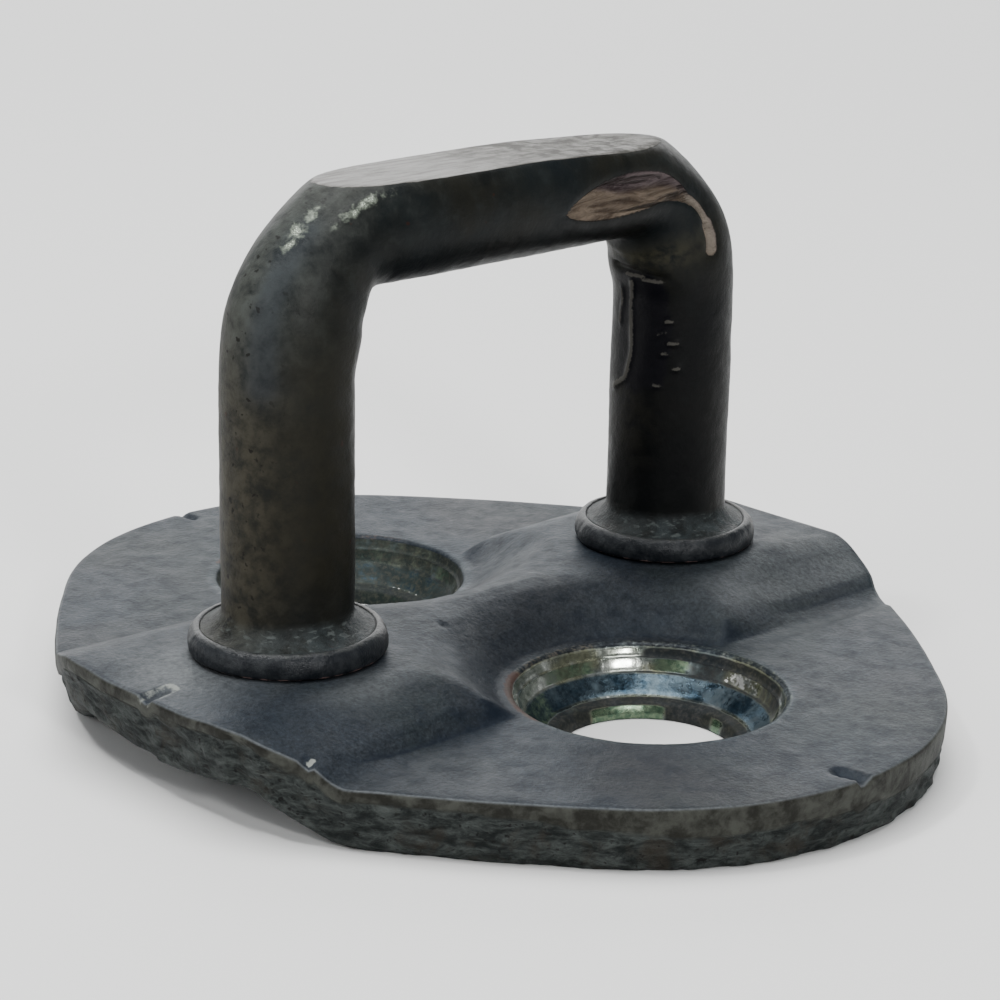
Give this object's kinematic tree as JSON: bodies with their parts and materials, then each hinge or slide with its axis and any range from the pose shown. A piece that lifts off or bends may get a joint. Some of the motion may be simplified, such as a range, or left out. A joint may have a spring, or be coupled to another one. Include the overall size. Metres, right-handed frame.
{
  "type": "latch striker loop on a base plate",
  "caption": "Fixed U-shaped striker loop of round bar, staked into a pressed steel base plate with a raised centre band and countersunk screw holes.",
  "frame": {"origin": "centre of the mounting face, midway between the screw holes", "axes": "+X along the loop's bridge, +Y along the line of the screw holes, +Z out of the mounting face towards the bridge"},
  "size_m": [0.068, 0.08, 0.0434],
  "materials": {
    "plate_steel": "weathered blue-grey zinc plating over pressed steel",
    "bar_steel": "dark oxide with rubbed patches, satin",
    "ring_steel": "dark oxide, satin"
  },
  "bodies": {
    "root": {"base_plate": "plate_steel", "striker_loop": "bar_steel", "collar_ring_left": "ring_steel", "collar_ring_right": "ring_steel"}
  },
  "joints": []
}
